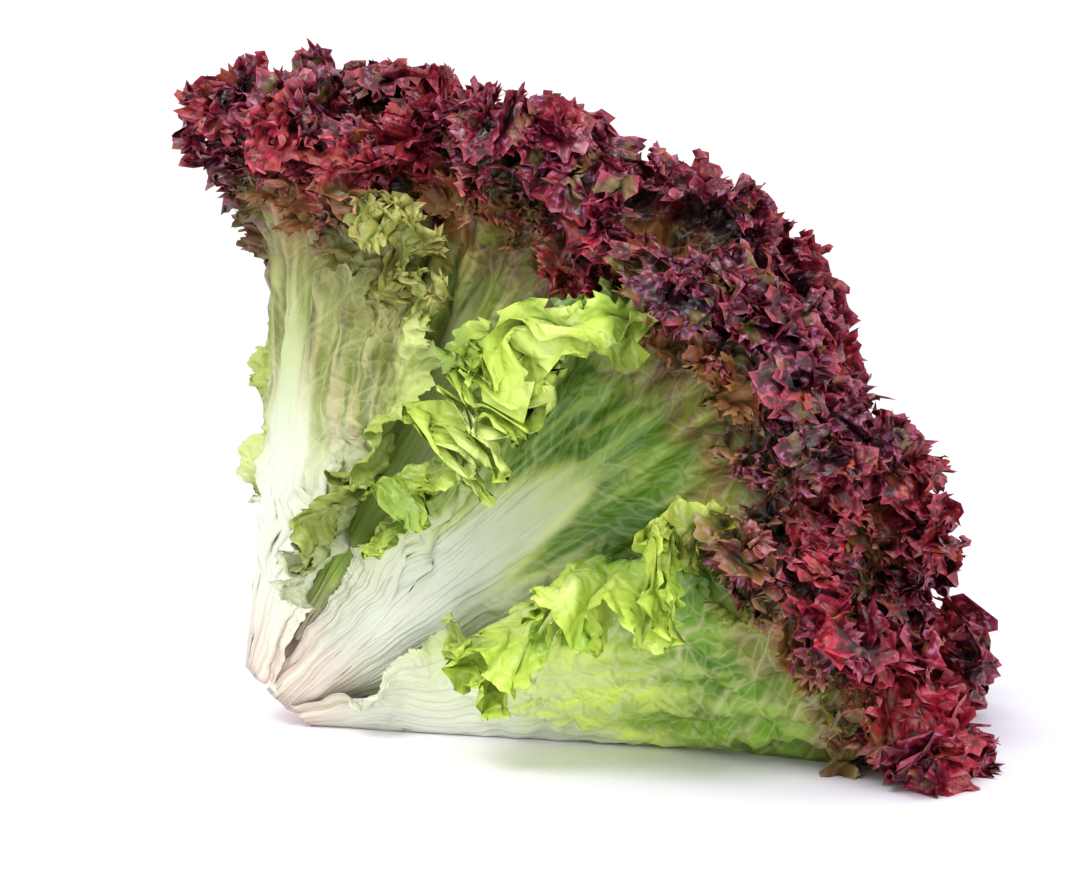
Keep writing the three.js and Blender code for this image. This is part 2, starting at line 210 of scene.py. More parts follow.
RIM_LINE = 12  # the thick blade ends this far from the margin, inside the frill's single sheet
SHEET_LINE = 14.4
UV_BANDS = {"inner": (0, 0.2), "outer": (0.2, 0.4), "sheet": (0.4, 0.6), "rows": (0.6, 1)}
UV_EDGE = 0.02  # share of a band left free at each side


def lerp(a, b, t):
    return a + (b - a) * t


def clamp01(t):
    return np.clip(t, 0.0, 1.0)


def smooth(t):
    t = clamp01(t)
    return t * t * (3 - 2 * t)


def ramp(x, start, end):
    """From 0 at start to 1 at end, smoothly. Start may be the larger."""
    return smooth((x - start) / (end - start))


def within(x, span, ease):
    """1 inside the span and 0 outside it, smoothly."""
    return smooth((x - span[0]) / ease) * smooth((span[1] - x) / ease)


def draw(i, k):
    """A repeatable draw from 0 to 1 for leaf i."""
    x = np.sin(i * 12.9898 + k * 78.233) * 43758.5453
    return float(x - np.floor(x))


def length_of(p):
    return np.linalg.norm(p, axis=-1)


def unit(p):
    return p / (length_of(p)[..., None] + 1e-9)


def spread(shares, azimuth):
    return shares[0] + shares[1] * np.cos(2 * azimuth) + shares[2] * np.cos(azimuth)


def crimp(p):
    """The crimps that neighbouring leaves share, sideways and then back to front."""
    waves = 2 * np.pi * HEAD_RADIUS / CRIMP_LENGTH

    def grow(q):
        return CRIMP_DEPTH * ramp(length_of(q) / HEAD_RADIUS, CRIMP_START, 1)

    p = p.copy()
    p[..., 0] += grow(p) * np.sin(waves * p[..., 1] / length_of(p) + CRIMP_PHASES[0])
    p[..., 1] += grow(p) * np.sin(waves * p[..., 0] / length_of(p) + CRIMP_PHASES[1])
    return p


def settle(p):
    """From the head's own frame to the table's."""
    sin, cos = np.sin(HEAD_RISE), np.cos(HEAD_RISE)
    x = FOOT_X + p[..., 0] * sin + p[..., 2] * cos
    z = FOOT_HEIGHT - p[..., 0] * cos + p[..., 2] * sin
    depth = TABLE_REACH + TABLE_DIP
    low = TABLE_REACH - depth * (1 - np.exp((np.minimum(z, TABLE_REACH) - TABLE_REACH) / depth))
    z = np.where(z < TABLE_REACH, low, z)
    return np.stack([x, FOOT_Y + p[..., 1], z], axis=-1)


def openness(layer):
    return np.maximum(0, 1 - layer / (LEAF_COUNT - 1)) ** OPENNESS_FALL


def foot_turn(layer):
    return lerp(*FOOT_TURNS, clamp01(layer / (LEAF_COUNT - 1)))


def layer_point(layer, along, azimuth):
    closed = 1 - openness(layer)
    t = np.maximum(along, 0) / HEAD_RADIUS
    base = lerp(*BASE_ANGLES, closed) * spread(FOOT_SPREAD, azimuth)
    tip = lerp(*TIP_ANGLES, closed) * spread(TIP_SPREAD, azimuth)
    chord = lerp(base, tip, t**TIP_CURL)
    turn = foot_turn(layer)
    r = STEM_RADIUS * np.cos(turn) + STEM_GAP + BLADE_THICKNESS / 2 + along * np.sin(chord)
    z = STEM_LENGTH * np.sin(turn) + along * np.cos(chord)
    return np.stack([r * np.cos(azimuth), r * np.sin(azimuth), z], axis=-1)


def smooth_noise(x, seed):
    """Seeded noise from -1 to 1 that changes over about one unit of x."""
    out = np.zeros_like(x)
    for k, scale in enumerate((1.0, 1.83, 3.1)):
        out += np.sin(x * 2.1 * scale + seed * (1.7 + k) + 1.3 * np.sin(x * scale * 1.27 + seed + k))
    return out / 3


def uneven(x, seed, share):
    """A size of about 1 that falls here and there by up to twice this share."""
    return 1 - share + share * smooth_noise(x, seed)


def blotches(x, y, length, seed):
    """Seeded smooth noise from -1 to 1 over a plane, of about this length from crest to crest."""
    bend, bend_rate = 1.2, 0.6  # how far the crests wind, in radians, and how often for each wave
    out = 0
    for k in range(BLOTCH_WAVES):
        turn = 2 * np.pi * (k + draw(seed, 20 + k)) / BLOTCH_WAVES
        rate = 2 * np.pi / length * (0.7 + 0.6 * draw(seed, 30 + k))
        along = rate * (x * np.cos(turn) + y * np.sin(turn))
        aside = rate * (y * np.cos(turn) - x * np.sin(turn))
        winding = bend * np.sin(bend_rate * aside + 6 * draw(seed, 40 + k))
        out = out + np.sin(along + winding + 6 * draw(seed, 50 + k))
    return out / (1.4 * BLOTCH_WAVES**0.5)


class Leaf:
    """The plan of leaf i, 0 being the outermost, as the solids have it."""

    def __init__(self, i):
        rank = i / (LEAF_COUNT - 1)
        opened = float(openness(i))
        self.index = i
        self.rank = rank
        slip = 0 if i < SETTLED_LEAVES else (draw(i, 1) - 0.5) * SLIP_RANGE
        self.azimuth = FIRST_AZIMUTH + i * GOLDEN_ANGLE + slip
        upness = 0.5 - 0.5 * np.cos(self.azimuth)
        stretch = 1 + opened * (SIDE_STRETCH * np.sin(self.azimuth) ** 2 - TOP_SHRINK * upness)
        reach = lerp(HEART_RADIUS, HEAD_RADIUS, opened) * lerp(*LENGTH_RANGE, draw(i, 2)) * stretch
        self.foot_height = STEM_LENGTH * np.sin(foot_turn(i))
        self.length = reach - self.foot_height
        self.tip = lerp(*TIP_ANGLES, 1 - opened)
        self.foot_radius = STEM_RADIUS * np.cos(foot_turn(i)) + STEM_GAP
        girth = self.foot_radius + GIRTH_AT * self.length * np.sin(self.tip)
        self.half_width = min(WIDEST_HALF, girth * lerp(*ROUND_REACHES, rank))
        self.wider_by = WIDE_SHARE if i == WIDE_LEAF else 0
        self.foot_half_width = lerp(*FOOT_HALF_WIDTHS, rank)
        self.rib_depth = lerp(*RIB_DEPTHS, rank)
        self.ruffle_layers = lerp(*RUFFLE_LAYERS, rank)
        self.waves = lerp(*RUFFLE_COUNTS, rank)
        self.phase = draw(i, 3) * 2 * np.pi

    def margin(self, u):
        q = 1 - np.abs(u)
        shoulder_at = SHOULDER_HEIGHT * self.length
        side = lerp(self.foot_half_width, self.half_width, smooth(q / SHOULDER) ** WIDENING)
        turn = clamp01((q - SHOULDER) / (1 - SHOULDER)) * 0.5 * np.pi
        across = np.where(q < SHOULDER, side, self.half_width * np.cos(turn))
        top = shoulder_at + (self.length - shoulder_at) * np.sin(turn)
        along = np.where(q < SHOULDER, shoulder_at * q / SHOULDER, top)
        wider = np.where(u < 0, self.wider_by * smooth(q / SHOULDER), 0)
        return np.sign(u) * across * (1 + wider), along

    def rib_width(self, t):
        """Half the width of the rib, this share of the way up the leaf."""
        return self.foot_half_width * lerp(*RIB_WIDTHS, smooth(t / RIB_NARROWS))

    def vein_start(self, u):
        return RIB_END * self.length * (1 - np.abs(u) ** VEIN_SWEEP)

    def vein_length(self, u):
        across, along = self.margin(u)
        return np.hypot(across, along - self.vein_start(u))

    def flat(self, u, v):
        across, along = self.margin(u)
        return across * v, lerp(self.vein_start(u), along, v)

    def wave(self, u):
        """The phase of the large ruffles at u, and their height there."""
        stray = 0.5 * np.sin(9.7 * u + self.phase) + 0.35 * np.sin(17.3 * u + 2.1 * self.phase)
        height = 1 - 0.18 * (1 - np.sin(13.1 * u + 1.7 * self.phase))
        return 2 * np.pi * self.waves * u + self.phase + stray, height * ramp(np.abs(u), *RUFFLE_ENDS)

    def fan(self, across, along):
        """The angle off the rib, seen from a point under the foot: streaks and pleats follow it."""
        return np.arctan2(across, along + FAN_DEPTH)

    def relief(self, across, along):
        """The pleats and puckers that stand out of the solid's blade, in layers."""
        t = along / self.length
        stray = blotches(across, along, PLEAT_STRAY_LENGTH, self.index + 7)
        cycle = self.fan(across, along) / PLEAT_ANGLE
        pleats = PLEAT_HEIGHT * np.sin(2 * np.pi * cycle + self.phase + PLEAT_STRAY * stray)
        pleats = pleats * (1 - PLEAT_UNEVEN + PLEAT_UNEVEN * stray) * ramp(t, *PLEAT_SPAN)
        puckers = blotches(across, along, PUCKER_LENGTH, self.index) * ramp(t, *PUCKER_SPAN)
        puckers = puckers * (SAVOY_HEIGHT if self.index in SAVOY_LEAVES else PUCKER_HEIGHT)
        return (pleats + puckers) * lerp(1, HEART_RELIEF, self.rank)

    def point(self, u, v):
        """The middle of the dressed leaf's blade at u, v, in the table's frame."""
        across, along = self.flat(u, v)
        azimuth = self.azimuth + across / (self.foot_radius + along * np.sin(self.tip))
        phase, height = self.wave(u)
        rise = clamp01(1 - (1 - v) * self.vein_length(u) / RUFFLE_REACH) ** RUFFLE_GROWTH
        calm = 1 - FLAP_CALM * flap_at(self, u)[0] * ramp(v, *FLAP_CALM_SPAN)
        raised = self.ruffle_layers * np.sin(phase) * height * rise + self.relief(across, along) * calm
        drop = FOOT_DROP_SHARE * self.foot_height if self.index < FEET_AT_CUT else 0
        along = along - drop * clamp01(1 - along / FOOT_DROP_REACH) ** 2
        return settle(crimp(layer_point(self.index - raised, along, azimuth)))


def bend_table(bend, count=1024):
    """One wave of a line whose direction swings by bend to each side: its offsets per wavelength."""
    t = (np.arange(count) + 0.5) / count * 2 * np.pi
    angle = bend * np.cos(t)
    x, y = np.cumsum(np.cos(angle)), np.cumsum(np.sin(angle))
    y -= y.mean()
    run = x[-1]
    x = x / run - t / (2 * np.pi)
    return x - x.mean(), y / run


def curl_table(angle):
    """A strip of unit length whose direction turns away by these angles: how far along and off it gets."""
    count = len(angle)
    out = np.concatenate([[0], np.cumsum(np.cos(angle))]) / count
    off = np.concatenate([[0], np.cumsum(np.sin(angle))]) / count
    return np.stack([out, off])


def lookup(tables, row, at):
    """Reads a stack of tables between its rows and columns, both from 0 to 1."""
    row = clamp01(row) * (tables.shape[0] - 1)
    at = clamp01(at) * (tables.shape[1] - 1)
    low = np.minimum(row.astype(int), tables.shape[0] - 2)
    left = np.minimum(at.astype(int), tables.shape[1] - 2)
    f, g = row - low, at - left
    near = lerp(tables[low, left], tables[low, left + 1], g)
    far = lerp(tables[low + 1, left], tables[low + 1, left + 1], g)
    return lerp(near, far, f)


TABLE_ROWS = 17
TABLE_STEPS = 64
STRIP = (np.arange(TABLE_STEPS) + 0.5) / TABLE_STEPS
TURNS = np.linspace(0, CURL_TURN, TABLE_ROWS)
CURLS = np.array([curl_table(turn * STRIP**CURL_STEEPNESS) for turn in TURNS])
FLAP_CURLS = np.array([curl_table(turn * smooth(STRIP / FLAP_BEND)) for turn in TURNS])
BENDS = np.array([np.stack(bend_table(max(b, 1e-3))) for b in np.linspace(0, WIDEST_BEND, TABLE_ROWS)])


def side_share(u):
    """How far u lies down a side of the leaf: 0 round its tip, and 1 along its sides."""
    return ramp(np.abs(u), *CALM_SIDES)


def bare_share(leaf, u):
    """How slight the frill is at u: 0 nearly everywhere, and 1 where the leaf goes without."""
    if leaf.index not in BARE_SPANS:
        return np.zeros_like(u)
    return within(u, BARE_SPANS[leaf.index], BARE_EASE)


def flap_at(leaf, u):
    """How far u lies in a flap, from 0 to 1, and the flap's reach, turn and gain there."""
    share, turn, gain = np.zeros_like(u), np.zeros_like(u), np.zeros_like(u)
    reach = np.full_like(u, CURL_REACH)
    for flap in FLAPS:
        if flap["leaf"] == leaf.index:
            here = within(flap["side"] * u, flap["span"], FLAP_EASE)
            share += here
            reach += here * (flap["reach"] - CURL_REACH)
            turn += here * flap["turn"]
            gain += here * flap["gain"]
    return share, reach, turn, gain


def with_lobes(leaf, u, v):
    """The leaf's points, its margin curled over in lobes and flaps."""
    phase, height = leaf.wave(u)
    vein = leaf.vein_length(u)
    flap, flap_reach, flap_turn, gain = flap_at(leaf, u)
    reach = np.minimum(flap_reach, 0.5 * vein)
    strength = uneven(u * 31 + leaf.phase, leaf.index * 1.3, LOBE_UNEVEN)
    calm = lerp(1, SIDE_LOBES, side_share(u)) * lerp(1, BARE_LOBES, bare_share(leaf, u)) * (1 - flap)
    lobe = np.sin(LOBES_PER_RUFFLE * phase + 1.9 * np.sin(phase * 0.37 + leaf.phase))
    lean = clamp01(0.5 + 0.42 * lobe + 0.2 * np.sin(phase)) * 2 - 1
    size = np.abs(lean * height * calm) ** 0.7 * strength * np.sign(lean)
    fold = flap_turn * (0.9 + 0.1 * lobe) / CURL_TURN
    length = reach * (1 + CURL_EXTRA * np.abs(size) + FLAP_EXTRA * flap * (1 + 0.4 * lobe))
    share = clamp01(1 - (1 - v) * vein / reach)
    out = lookup(CURLS[:, 0], np.abs(size), share)
    off = lookup(CURLS[:, 1], np.abs(size), share) * np.sign(size)
    out = lerp(out, lookup(FLAP_CURLS[:, 0], fold, share), flap) * length
    off = lerp(off, lookup(FLAP_CURLS[:, 1], fold, share), flap) * length
    inside = (1 - v) * vein > reach
    wider = 1 + gain * reach / (vein - reach)
    v2 = np.where(inside, v * wider, (1 - reach / vein) * wider + out / vein)
    round_ = leaf.point(u + NUDGE, v2) - leaf.point(u - NUDGE, v2)
    up = leaf.point(u, v2 + NUDGE) - leaf.point(u, v2 - NUDGE)
    outward = unit(np.cross(round_, up))
    off = np.where(inside, 0, off)
    return leaf.point(u, v2) + outward * off[..., None]


def run_along(points):
    """The length of a line of points up to each of them."""
    return np.concatenate([[0], np.cumsum(length_of(np.diff(points, axis=0)))])


def with_fold(points, rise, strength, fold, seed):
    """A grid of points with one more family of folds, which grow with rise from 0 to 1."""
    round_ = unit(np.gradient(points, axis=1))
    up = np.gradient(points, axis=0)
    normal = unit(np.cross(up, round_))
    run = run_along(points[-1])
    length = fold["length"]
    wobble = 0.9 * smooth_noise(run / (3.1 * length), seed * 3.7 + fold["seed"])
    cycle = (run / length + wobble + draw(seed, fold["seed"]))[None, :]
    swing = uneven(run / (2.3 * length), seed * 5.1 + fold["seed"], 0.26)
    bend = (strength * swing)[None, :] * rise**FOLD_GROWTH * fold["bend"] / WIDEST_BEND
    at = np.broadcast_to(cycle - np.floor(cycle), bend.shape)
    dx = lookup(BENDS[:, 0], bend, at) * length
    dy = lookup(BENDS[:, 1], bend, at) * length
    return points + round_ * dx[..., None] + normal * dy[..., None]


def crumpled(points, rise, seed):
    """A grid of points shaken by seeded waves through space, as far as rise, from 0 to 1, allows."""
    moved = np.zeros_like(points)
    for size, length in CRUMPLES:
        for k in range(CRUMPLE_WAVES):
            aim = np.array([draw(seed + length, 60 + 3 * k + axis) - 0.5 for axis in range(3)])
            aim = aim / np.linalg.norm(aim)
            side = np.cross(aim, [0.3, 0.5, 0.8])
            rate = 2 * np.pi / length * (0.75 + 0.5 * draw(seed, 90 + k))
            swing = 1.4 * np.sin(points @ side * rate * 0.7 + k)
            wave = np.sin(points @ aim * rate + 6 * draw(seed, 100 + k) + swing)
            moved += size * wave[..., None] * side
    return points + moved * rise[..., None]


def cut_teeth(grid, strength, seed):
    """Pushes the grid's last lines out and in along the blade, into pointed teeth."""
    run = run_along(grid[-1])
    at = run / TOOTH_LENGTH + 0.6 * smooth_noise(run / (3 * TOOTH_LENGTH), seed + 0.5)
    tooth = 1.25 * (1 - np.abs((at % 1) * 2 - 1)) ** 1.5 - 0.5  # pointed outwards, round between
    tooth = tooth * uneven(run / (2.2 * TOOTH_LENGTH), seed * 2.3, 0.4) * TOOTH_DEPTH * strength
    out = unit(grid[-1] - grid[-3])
    for row, share in TOOTH_SHARES:
        grid[row] += out * (tooth * share)[:, None]


def zip_lines(inner, outer):
    """Triangles between two lines of points that cover the same span with different counts."""
    m, n = len(inner) - 1, len(outer) - 1
    if m == n:
        a, b = inner[:-1], inner[1:]
        c, d = outer[:-1], outer[1:]
        return np.concatenate([np.stack([a, c, d], axis=1), np.stack([a, d, b], axis=1)])
    faces = []
    i = j = 0
    while i < m or j < n:
        if j < n and (i == m or (j + 0.5) / n <= (i + 0.5) / m):
            faces.append((inner[i], outer[j], outer[j + 1]))
            j += 1
        else:
            faces.append((inner[i], outer[j], inner[i + 1]))
            i += 1
    return np.array(faces)


def new_object(name, data):
    obj = bpy.data.objects.new(name, data)
    bpy.context.scene.collection.objects.link(obj)
    return obj


class Body:
    """Gathers the points and faces of one leaf, and what its material reads at each point."""

    def __init__(self, leaf):
        self.leaf = leaf
        self.points, self.faces, self.uvs, self.count = [], [], [], 0
        self.maps = {"place": [], "tone": [], "form": []}

    def add(self, points, faces, u, v, edge, band, share):
        """Edge is the distance to the sheet's own edge, and share its place across the map's band."""
        leaf = self.leaf
        across, along = leaf.flat(u, v)
        t = clamp01(along / leaf.length)
        self.points.append(points)
        self.faces.append(faces + self.count)
        self.count += len(points)
        self.maps["place"].append(np.stack([across, along, u * 100], axis=1))
        side = np.abs(across) / leaf.rib_width(t)
        self.maps["tone"].append(np.stack([(1 - v) * leaf.vein_length(u), t, side], axis=1))
        lift = leaf.relief(across, along) / PLEAT_HEIGHT
        self.maps["form"].append(np.stack([leaf.fan(across, along) * 10, edge, lift], axis=1))
        low, high = band
        at = low + lerp(UV_EDGE, 1 - UV_EDGE, clamp01(share)) * (high - low)
        self.uvs.append(np.stack([(u + 1) * 0.49 + 0.01, at], axis=1))

    def mesh(self, name):
        points = np.concatenate(self.points)
        points[:, 2] = np.maximum(points[:, 2], LOWEST)
        tris = np.concatenate(self.faces)
        mesh = bpy.data.meshes.new(name)
        mesh.vertices.add(len(points))
        mesh.vertices.foreach_set("co", (points * MM).ravel())
        mesh.loops.add(len(tris) * 3)
        mesh.loops.foreach_set("vertex_index", tris.ravel())
        mesh.polygons.add(len(tris))
        mesh.polygons.foreach_set("loop_start", np.arange(len(tris)) * 3)
        mesh.polygons.foreach_set("use_smooth", np.ones(len(tris), dtype=bool))
        mesh.update(calc_edges=True)
        mesh.validate()
        for key, values in self.maps.items():
            layer = mesh.attributes.new(key, "FLOAT_COLOR", "POINT")
            values = np.concatenate(values)
            color = np.concatenate([values, np.ones((len(values), 1))], axis=1)
            layer.data.foreach_set("color", color.astype(np.float32).ravel())
        bake = mesh.uv_layers.new(name="OFBake")
        bake.data.foreach_set("uv", np.concatenate(self.uvs)[tris].astype(np.float32).ravel())
        return mesh


def gathered(strides, columns, *grids):
    """The points that each line keeps, as the lines' own numbers and one list for each grid."""
    lines, count, kept = [], 0, [[] for _ in grids]
    for row, stride in enumerate(strides):
        take = np.arange(0, columns + 1, stride)
        lines.append(np.arange(count, count + len(take)))
        count += len(take)
        for grid, found in zip(grids, kept):
            found.append(grid[row, take])
    return lines, [np.concatenate(found) for found in kept]


def zipped(lines):
    return np.concatenate([zip_lines(a, b) for a, b in zip(lines, lines[1:])])


def add_thick_blade(body, grid, u, v, strides, columns):
    """The blade as a closed shell that thins towards its rim, with the rib raised on its back."""
    leaf = body.leaf
    lines, (middle, u, v) = gathered(strides, columns, grid, u, v)
    same = np.arange(len(u))
    rib = lines[0]
    half = len(rib) // 2
    same[rib[::-1][:half]] = rib[:half]  # the two sides of the rib share their points
    faces = same[zipped(lines)]
    a, b, c = faces.T
    faces = faces[(a != b) & (b != c) & (c != a)]
    normal = np.zeros_like(middle)
    turned = np.cross(middle[faces[:, 2]] - middle[faces[:, 0]], middle[faces[:, 1]] - middle[faces[:, 0]])
    for k in range(3):
        np.add.at(normal, faces[:, k], turned)
    normal = unit(normal)

    across, along = leaf.flat(u, v)
    t = clamp01(along / leaf.length)
    rib_height = leaf.rib_depth * (1 - smooth(t / 0.8)) * np.exp(-((across / leaf.rib_width(t)) ** 2))
    to_margin = (1 - v) * leaf.vein_length(u)
    thickness = lerp(RIM_THICKNESS, LEAF_THICKNESS, smooth((to_margin - RIM_LINE) / RIM_THINS))
    used = np.unique(faces)
    place = np.full(len(u), -1)
    place[used] = np.arange(len(used))
    f = place[faces]
    n = len(used)
    back = middle + normal * (thickness / 2 + rib_height)[:, None]
    front = middle - normal * (thickness / 2)[:, None]
    edges = np.concatenate([f[:, [0, 1]], f[:, [1, 2]], f[:, [2, 0]]])
    key = edges[:, 0].astype(np.int64) * n + edges[:, 1]
    other = edges[:, 1].astype(np.int64) * n + edges[:, 0]
    rim = edges[~np.isin(key, other)]
    rim_a = np.stack([rim[:, 0], rim[:, 1] + n, rim[:, 1]], axis=1)
    rim_b = np.stack([rim[:, 0], rim[:, 0] + n, rim[:, 1] + n], axis=1)
    u, v, edge = u[used], v[used], to_margin[used]
    body.add(front[used], np.zeros((0, 3), dtype=int), u, v, edge, UV_BANDS["inner"], v)
    shell = np.concatenate([f, f[:, [0, 2, 1]] + n, rim_a, rim_b]) - n
    body.add(back[used], shell, u, v, edge, UV_BANDS["outer"], v)


def add_row(body, number):
    """A row of small frills on one face of the leaf, standing up from it and leaning to its tip."""
    leaf = body.leaf
    line = np.linspace(-ROW_SPAN, ROW_SPAN, ROW_COLUMNS + 1)
    vein = leaf.vein_length(line)
    seed = leaf.index + 0.37 * (number + 1)
    depth, face = ROWS[number]
    depth = depth * (1 + 0.18 * smooth_noise(line * 19, seed))
    foot_v = 1 - depth / vein
    step = ROW_STEP / vein
    u = np.broadcast_to(line, (3, len(line)))
    below, foot, above = with_lobes(leaf, u, np.stack([foot_v - step, foot_v, foot_v + step]))
    up = unit(above - below)
    outward = face * unit(np.cross(np.gradient(foot, axis=0), up))
    ends = smooth((ROW_SPAN - np.abs(line)) / ROW_EASE) * lerp(1, 0.05, bare_share(leaf, line))
    height = ROW_HEIGHT * uneven(line * 27, seed + 5, 0.2) * lerp(ROW_LEAST, 1, ends)
    sunk = foot - outward * ROW_SUNK
    grid, at, turn_up, turn_off = [], 0.0, 0.0, 0.0
    for share in ROW_SHARES:
        angle = lerp(*ROW_TURN, share)
        turn_up += (share - at) * np.cos(angle)
        turn_off += (share - at) * np.sin(angle)
        at = share
        grid.append(sunk + (up * turn_up + outward * turn_off) * height[:, None])
    grid = np.array(grid)
    shares = np.array(ROW_SHARES)[:, None]
    for fold in ROW_FOLDS:
        rise = clamp01(1 - (1 - shares) * ROW_HEIGHT / fold["reach"])
        grid = with_fold(grid, rise + 0 * line, ends, fold, seed)
    grid = crumpled(grid, shares + 0 * line, leaf.index)
    cut_teeth(grid, ends, seed)
    u = np.broadcast_to(line, (len(ROW_SHARES), len(line)))
    v = foot_v + shares * ROW_HEIGHT * 0.5 / vein
    edge = (1 - shares) * ROW_HEIGHT + 0 * line
    lines, (points, u, v, edge) = gathered(ROW_STRIDES, ROW_COLUMNS, grid, u, v, edge)
    low, high = UV_BANDS["rows"]
    width = (high - low) / len(ROWS)
    band = (low + number * width, low + (number + 1) * width)
    body.add(points, zipped(lines), u, v, edge, band, 1 - edge / ROW_HEIGHT)


def build_leaf(i):
    leaf = Leaf(i)
    most = LARGE_COLUMNS if i < LARGE_LEAVES else SMALL_COLUMNS
    columns = most * lerp(NARROW_COLUMNS, 1, leaf.half_width / WIDEST_HALF)
    columns = int(round(columns / COARSEST)) * COARSEST
    line = np.linspace(-1, 1, columns + 1)
    vein = leaf.vein_length(line)
    has_flap = any(flap["leaf"] == i for flap in FLAPS)
    frill_lines = sorted(FRILL_LINES + (FLAP_LINES if has_flap else []), reverse=True)
    depths = np.array([depth for depth, stride in frill_lines])
    strides = BLADE_STRIDES + [stride for depth, stride in frill_lines]
    deepest = depths[0]
    frill_depth = np.minimum(deepest, FRILL_SHARE * vein)
    rows = [share * (1 - frill_depth / vein) for share in BLADE_SHARES]
    rows += [1 - depth / deepest * frill_depth / vein for depth in depths]
    v = np.array(rows)
    u = np.broadcast_to(line, v.shape)

    grid = with_lobes(leaf, u, v)
    flap = flap_at(leaf, line)[0]
    strength = lerp(lerp(1, SIDE_FOLDS, side_share(line)), FLAP_FOLDS, flap)
    strength = strength * ramp(np.abs(line), *FOLD_ENDS)
    to_margin = (1 - v) * vein
    for fold in FOLDS:
        rise = clamp01(1 - to_margin / (fold["reach"] * (1 + 0.3 * flap)))
        grid = with_fold(grid, rise, strength, fold, i)
    loose = clamp01(1 - to_margin / CRUMPLE_REACH) * lerp(CRUMPLE_LEAST, 1, strength)
    loose = np.maximum(loose, FLAP_CRUMPLE * flap * ramp(to_margin, *FLAP_LOOSE))
    grid = crumpled(grid, loose, i)
    cut_teeth(grid, strength, i)

    body = Body(leaf)
    blade_end = len(BLADE_SHARES) + int(np.searchsorted(-depths, -RIM_LINE)) + 1
    sheet_start = len(BLADE_SHARES) + int(np.searchsorted(-depths, -SHEET_LINE))
    blade, sheet = slice(0, blade_end), slice(sheet_start, None)
    add_thick_blade(body, grid[blade], u[blade], v[blade], strides[blade], columns)
    kept = gathered(strides[sheet], columns, grid[sheet], u[sheet], v[sheet], to_margin[sheet])
    lines, (points, u, v, edge) = kept
    body.add(points, zipped(lines), u, v, edge, UV_BANDS["sheet"], 1 - edge / SHEET_LINE)
    if i < ROW_LEAVES:
        for number in range(len(ROWS)):
            add_row(body, number)

    number = f"{i + 1:02d}"
    mesh = body.mesh(f"leaf_{number}")
    obj = new_object(f"leaf_{number}_whole", mesh)
    mesh.materials.append(leaf_material(leaf))
    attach(obj, "root")
    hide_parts(f"leaf_{number}", f"leaf_{number}_frill")


# -------- materials
# Colours run from 0 to 255 as the eye sees them. Of two, the second is for leaves on top of the head.
BLADE = {
    "green": ((102, 150, 12), (124, 132, 54)),
    "shade": ((56, 104, 4), (84, 88, 26)),
    "pale": ((176, 204, 88), (176, 182, 112)),
    "lime": ((182, 206, 80), (168, 186, 90)),
    "tender": ((204, 224, 96), (176, 182, 134)),
}
# The lime for a foot is partly an inner leaf's own pale green and partly painted light: green light come
# through the leaves, on a foot in a shaded hollow.
FOOT_WHITE, FOOT_LIME_AND_LIT = (218, 223, 196), (150, 190, 40)
YOUNG_STREAK, CRISP_LIGHT = (188, 196, 150), (208, 220, 136)
YOUNG_TAN, BLADE_TAN = (186, 160, 128), (158, 138, 92)
OLIVE, RUST, BROWN = (118, 118, 42), (160, 80, 42), (110, 70, 60)
# The frill's near-black is painted shade, for its depths and for specks between its curls.
RED, PAINTED_SHADE, ROSY = (94, 12, 30), (24, 4, 12), (146, 26, 40)
# The frill's pink and mauve are painted highlights, for glints and for its very edge.
HIGHLIGHT_PINK, HIGHLIGHT_MAUVE = (190, 72, 92), (164, 100, 142)
FRILL_RUST, FRILL_OLIVE = (146, 58, 34), (104, 96, 44)
LOW_VEIN, HIGH_VEIN = (206, 222, 160), (178, 176, 118)
LOW_RIB, HIGH_RIB = (214, 219, 202), (168, 188, 112)
CUT_LIGHT, CUT_TAN = (216, 200, 184), (192, 168, 148)
STEM_LIGHT, STEM_BLUSH, STEM_TAN = (232, 224, 206), (222, 196, 178), (196, 168, 140)

# What sets some leaves apart, by their index.
# Ridges are paler partly for the pale streaks along them and partly as painted highlight where light catches
# the raised pleats and puckers.
RIDGE_PALE_AND_HIGHLIGHT = {0: 0.3, 2: 0.35, 3: 0.15, 5: 0.35}  # how pale the ridges of the blade are
TENDER_HEIGHTS = {0: (0.58, 0.38), 3: (0.46, 0.3)}  # between which heights the pale young green fades
# Painted light: the pale young green of the outermost leaf is made lighter where its blade faces down into
# shade.
TENDER_PAINTED_LIGHT = {0: 1.1}  # how much lighter it is
DEEP_GREENS = {3: 0.6}  # how far the green goes to its darkest
# Partly the inner leaf's own pale green, partly painted green light in the shaded hollow where its foot
# lies.
FEET_GREEN_AND_LIT = {6: 0.75}  # how far the white foot goes to lime
FRILL_LIGHT = {0: 1.25, 1: 1.05, 3: 0.85, 6: 1.15, 8: 0.85}  # how much lighter or darker the frill is

STREAK_RATE = 1.6  # streaks across the fan and up the leaf
VEIN_GAP = 13  # from side vein to side vein along the rib
VEIN_LEAN = 1.5
VEIN_BOW = 0.9
VEIN_STRAY = 16
VEIN_WIDTH = 0.3  # share of the gap, where they are widest
NET_RATES = (0.3, 0.16)  # meshes of the finest veins for each millimetre, along the rib and off it
BUBBLES_PER_METRE = 230.0


def srgb(color, light=1):
    """Such a colour for a node."""
    c = np.array(color) * light / 255
    c = np.where(c <= 0.04045, c / 12.92, ((c + 0.055) / 1.055) ** 2.4)
    return (float(c[0]), float(c[1]), float(c[2]), 1.0)


def mix_rgb(a, b, share):
    return tuple(lerp(x, y, float(share)) for x, y in zip(a, b))


